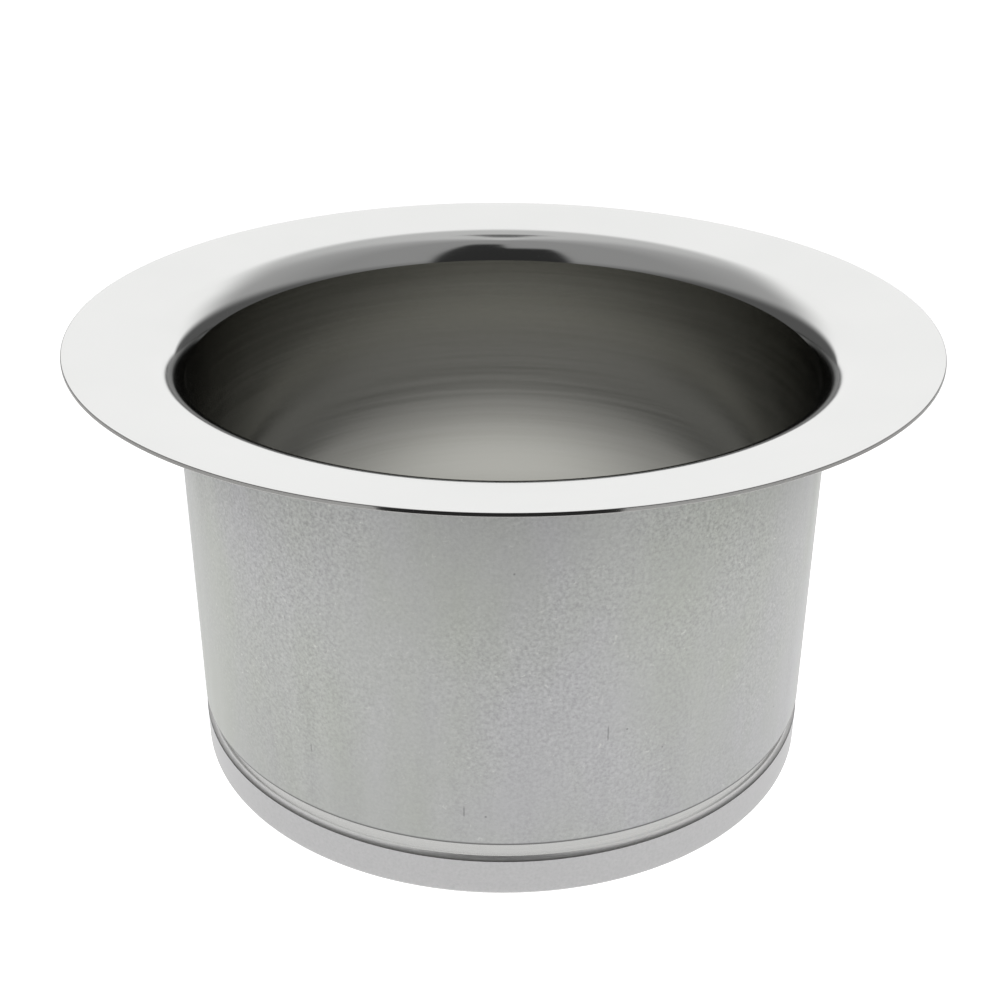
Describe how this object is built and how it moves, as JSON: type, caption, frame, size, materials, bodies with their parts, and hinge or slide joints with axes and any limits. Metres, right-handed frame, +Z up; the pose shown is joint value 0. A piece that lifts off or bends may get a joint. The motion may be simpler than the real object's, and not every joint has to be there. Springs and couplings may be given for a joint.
{
  "type": "deep sink drain flange",
  "caption": "Deep stainless-steel sink flange for a garbage disposal: dished polished rim, straight sleeve, and a foot collar with a snap-ring groove.",
  "frame": {"origin": "on the drain's axis, in the plane that the foot stands on", "axes": "+Z up along the drain's axis, towards the rim; X and Y are any two directions across it, because the part is round"},
  "size_m": [0.1142, 0.1142, 0.061],
  "materials": {
    "polished_steel": "polished stainless steel",
    "mill_steel": "dull mill-finish stainless steel",
    "turned_steel": "satin turned stainless steel"
  },
  "bodies": {
    "root": {"rim_flange": "polished_steel", "sleeve": "mill_steel", "foot_collar": "turned_steel"}
  },
  "joints": []
}
